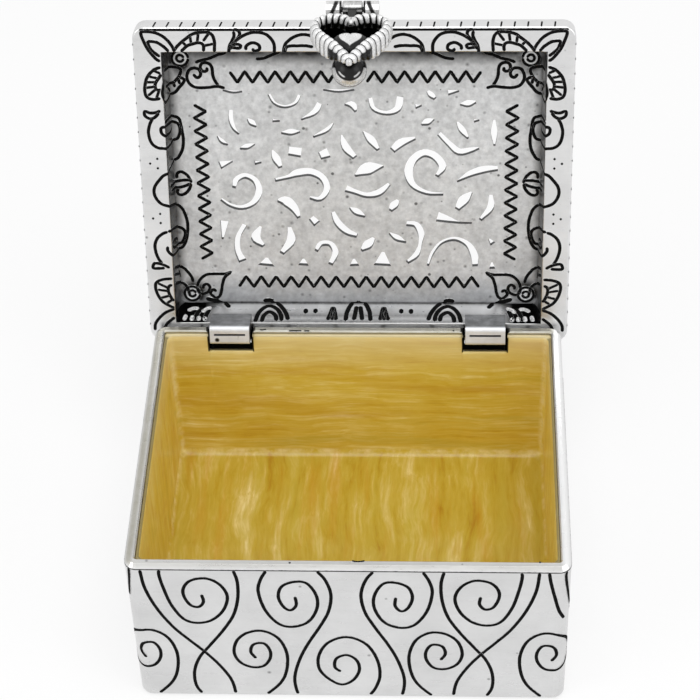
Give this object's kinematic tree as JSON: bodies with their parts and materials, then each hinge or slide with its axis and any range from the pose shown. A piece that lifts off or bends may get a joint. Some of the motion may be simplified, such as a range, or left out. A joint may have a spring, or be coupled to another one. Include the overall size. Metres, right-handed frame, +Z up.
{
  "type": "trinket box",
  "caption": "Small hinged trinket box of engraved silver metal with an amber enamel lining, a pierced scrollwork lid and a swinging rope-bordered heart pull, shown open.",
  "frame": {"origin": "middle of the box's footprint, on the flat underside that rests on the table", "axes": "+X to the right along the front, +Y from the front to the hinges at the back, +Z up"},
  "size_m": [0.093, 0.0975, 0.1167],
  "materials": {
    "silver": "polished, with blackened engraving",
    "satin_silver": "satin with small pits",
    "pin_steel": "drawn wire",
    "blackened_metal": "blackened",
    "enamel": "pearly amber enamel"
  },
  "bodies": {
    "box": {"box_walls": "silver", "base_plate": "satin_silver", "enamel_walls": "enamel", "enamel_floor": "enamel", "hinge_pin_left": "pin_steel", "hinge_pin_right": "pin_steel"},
    "lid": {"lid_frame": "silver", "pierced_panel": "satin_silver", "catch_bead": "silver", "hinge_lug_left": "silver", "hinge_lug_right": "silver", "pull_bracket": "silver", "pull_pin": "pin_steel"},
    "pull": {"heart_rim": "silver", "heart_plate": "blackened_metal", "small_heart": "silver"}
  },
  "joints": [
    {"name": "lid_hinge", "type": "hinge", "parent": "box", "child": "lid", "pos_m": [0, 0.03435, 0.0401], "axis": [1, 0, 0], "range_deg": [0, 106.1]},
    {"name": "pull_swing", "type": "hinge", "parent": "lid", "child": "pull", "pos_m": [0, 0.05659, 0.11205], "axis": [-1, 0, 0], "range_deg": [0, 110]}
  ]
}
